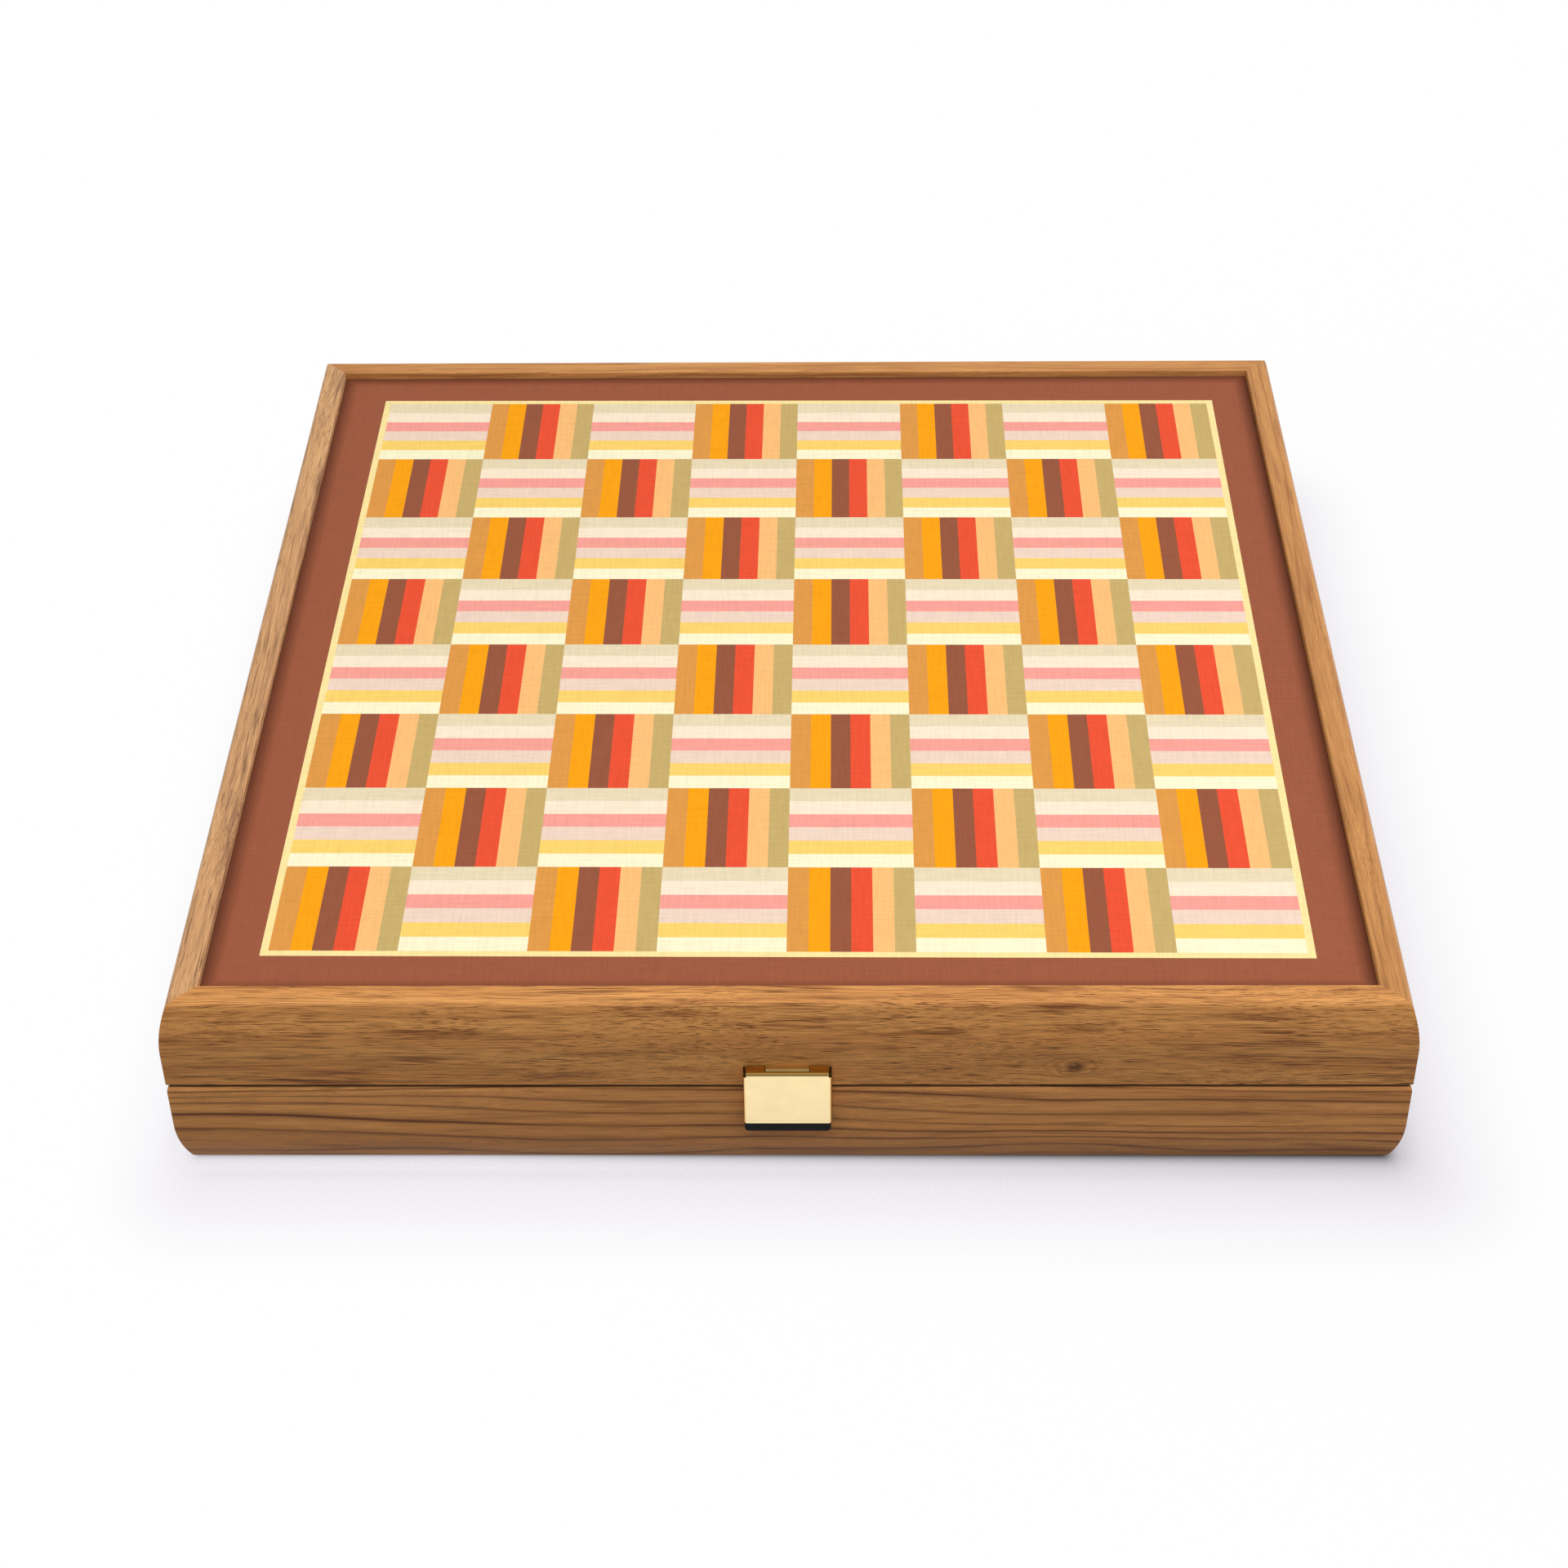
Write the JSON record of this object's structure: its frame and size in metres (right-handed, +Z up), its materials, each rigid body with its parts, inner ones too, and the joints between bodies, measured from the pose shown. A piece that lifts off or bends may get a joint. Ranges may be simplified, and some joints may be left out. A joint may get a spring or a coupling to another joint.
{
  "type": "multi-game board case",
  "caption": "Hinged wooden games case: striped chess and draughts board on the lid, a tray with backgammon points in each half, magnetic flap clasp in front.",
  "frame": {"origin": "centre of the closed case's footprint, on the surface that it stands on", "axes": "+X to the right, +Y from the clasp to the hinges, +Z up out of the playing board"},
  "size_m": [0.34, 0.3482, 0.0585],
  "materials": {
    "walnut_moulding": "satin lacquered walnut veneer, fine dark pores",
    "inner_wood": "satin lacquered walnut",
    "board_core": "raw plywood, covered on both faces",
    "board_print": "printed striped squares in a terracotta border, satin varnish over a linen texture",
    "underside_print": "printed cross-and-circle game, satin varnish",
    "field_print": "printed backgammon points, satin varnish",
    "brass": "pale brushed brass",
    "steel": "bright zinc plated",
    "black_plastic": "moulded, fine matt",
    "light_counter": "polished, faintly marbled",
    "dark_counter": "polished, faintly marbled",
    "ivory_plastic": "polished, dark pips"
  },
  "bodies": {
    "base": {"base_rail_front": "walnut_moulding", "base_rail_back": "walnut_moulding", "base_rail_left": "walnut_moulding", "base_rail_right": "walnut_moulding", "base_core": "board_core", "underside_sheet": "underside_print", "base_field_sheet": "field_print", "base_divider": "inner_wood", "hinge_left_base_leaf": "brass", "hinge_right_base_leaf": "brass", "hinge_left_pin": "steel", "hinge_right_pin": "steel", "base_leaf_screws": "brass", "keeper_plate": "steel", "keeper_screws": "steel", "light_counters": "light_counter", "dark_counters": "dark_counter", "dice": "ivory_plastic"},
    "lid": {"lid_rail_front": "walnut_moulding", "lid_rail_back": "walnut_moulding", "lid_rail_left": "walnut_moulding", "lid_rail_right": "walnut_moulding", "lid_core": "board_core", "board_sheet": "board_print", "lid_field_sheet": "field_print", "lid_divider": "inner_wood", "hinge_left_lid_leaf": "brass", "hinge_right_lid_leaf": "brass", "lid_leaf_screws": "brass", "clasp_bracket": "brass", "bracket_screws": "steel"},
    "flap": {"clasp_flap": "brass", "clasp_pin": "steel", "magnet_holder": "black_plastic", "clasp_magnet": "steel"}
  },
  "joints": [
    {"name": "lid_hinge", "type": "hinge", "parent": "base", "child": "lid", "pos_m": [0, 0.17205, 0.03085], "axis": [-1, 0, 0], "range_deg": [0, 180]},
    {"name": "clasp_flap_hinge", "type": "hinge", "parent": "lid", "child": "flap", "pos_m": [0, -0.17175, 0.0381], "axis": [-1, 0, 0], "range_deg": [0, 95]}
  ]
}
